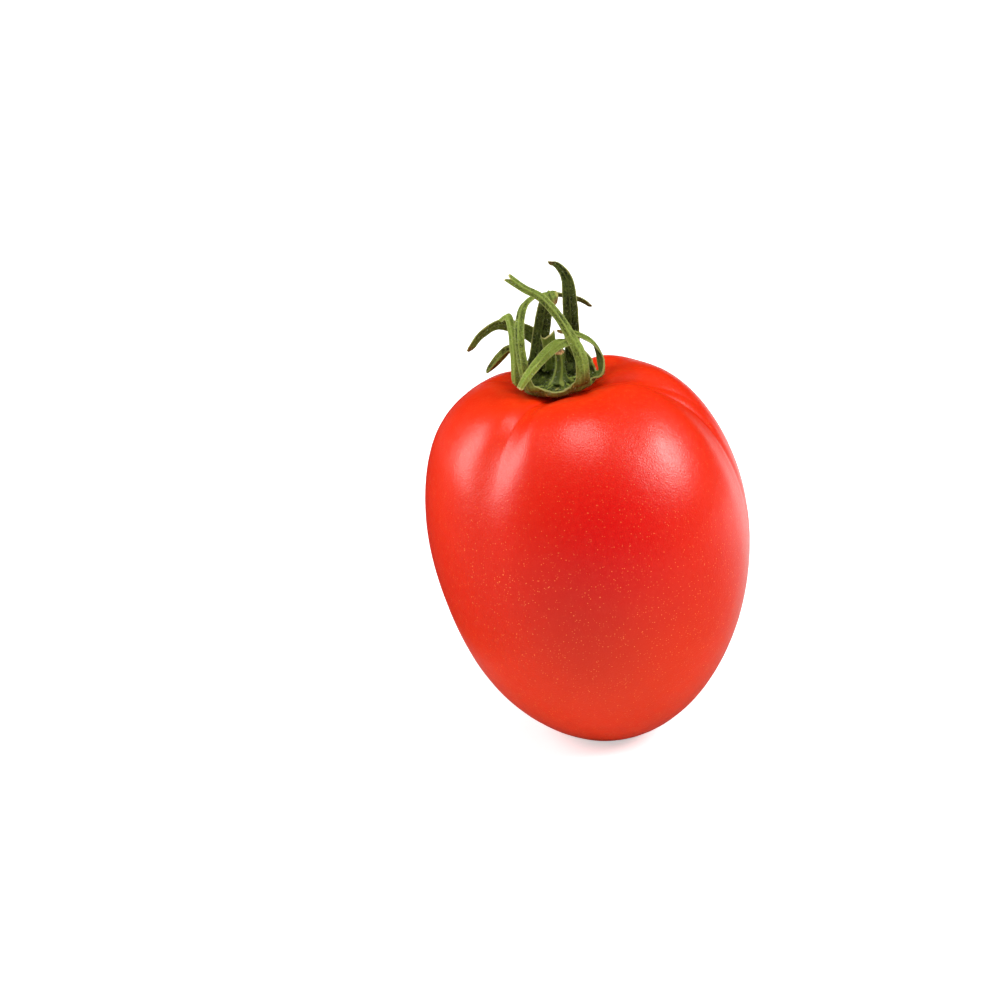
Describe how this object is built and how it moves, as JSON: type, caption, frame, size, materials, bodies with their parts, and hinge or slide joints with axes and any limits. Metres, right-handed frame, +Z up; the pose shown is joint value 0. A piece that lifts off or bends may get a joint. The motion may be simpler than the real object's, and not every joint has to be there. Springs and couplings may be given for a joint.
{
  "type": "plum tomato",
  "caption": "Ripe plum tomato standing on a small flat spot at its blossom end, with its green calyx and the stub of its stalk",
  "frame": {"origin": "middle of the flat spot under the blossom end, on which the fruit rests", "axes": "+Z up along the longest extent, -Y the front that the picture shows, +X to its right; the fruit's own axis leans 9.4 degrees from +Z towards -X"},
  "size_m": [0.0585, 0.058, 0.0883],
  "materials": {
    "skin": "glossy waxy red skin",
    "sepal": "matte hairy green leaf",
    "stem": "matte green stalk with a dry tan break"
  },
  "bodies": {
    "root": {"fruit": "skin", "calyx": "sepal", "stalk": "stem"}
  },
  "joints": []
}
